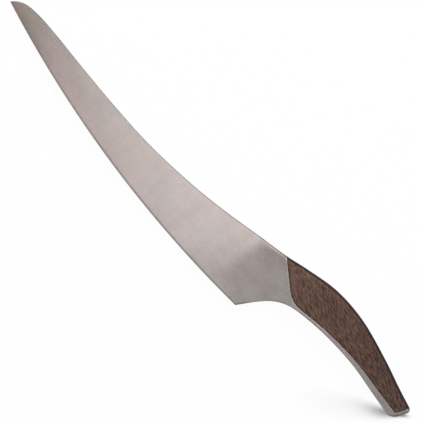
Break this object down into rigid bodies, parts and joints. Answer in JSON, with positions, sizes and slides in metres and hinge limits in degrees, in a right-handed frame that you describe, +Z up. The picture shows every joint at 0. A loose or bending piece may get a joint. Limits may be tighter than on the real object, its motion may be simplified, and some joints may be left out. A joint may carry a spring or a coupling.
{
  "type": "fillet knife",
  "caption": "Long curved fillet knife for slicing: one steel forging forms blade, bolster, tang, belly rail and butt, with dark wooden scales let into its sides.",
  "frame": {"origin": "middle of the bounding box's base, on the surface that the knife lies on", "axes": "+X from the tip to the butt along the chord of the cutting edge, +Y from the cutting edge to the spine, +Z up through the blade's thickness, out of the knife's left side"},
  "size_m": [0.39, 0.0744, 0.018],
  "materials": {
    "satin_steel": "satin, fine cross-brushed",
    "dark_oak": "smoked and oiled, open pores",
    "pin_brass": "turned"
  },
  "bodies": {
    "root": {"blade_forging": "satin_steel", "left_scale": "dark_oak", "right_scale": "dark_oak", "front_pin": "pin_brass", "middle_pin": "pin_brass", "rear_pin": "pin_brass"}
  },
  "joints": []
}
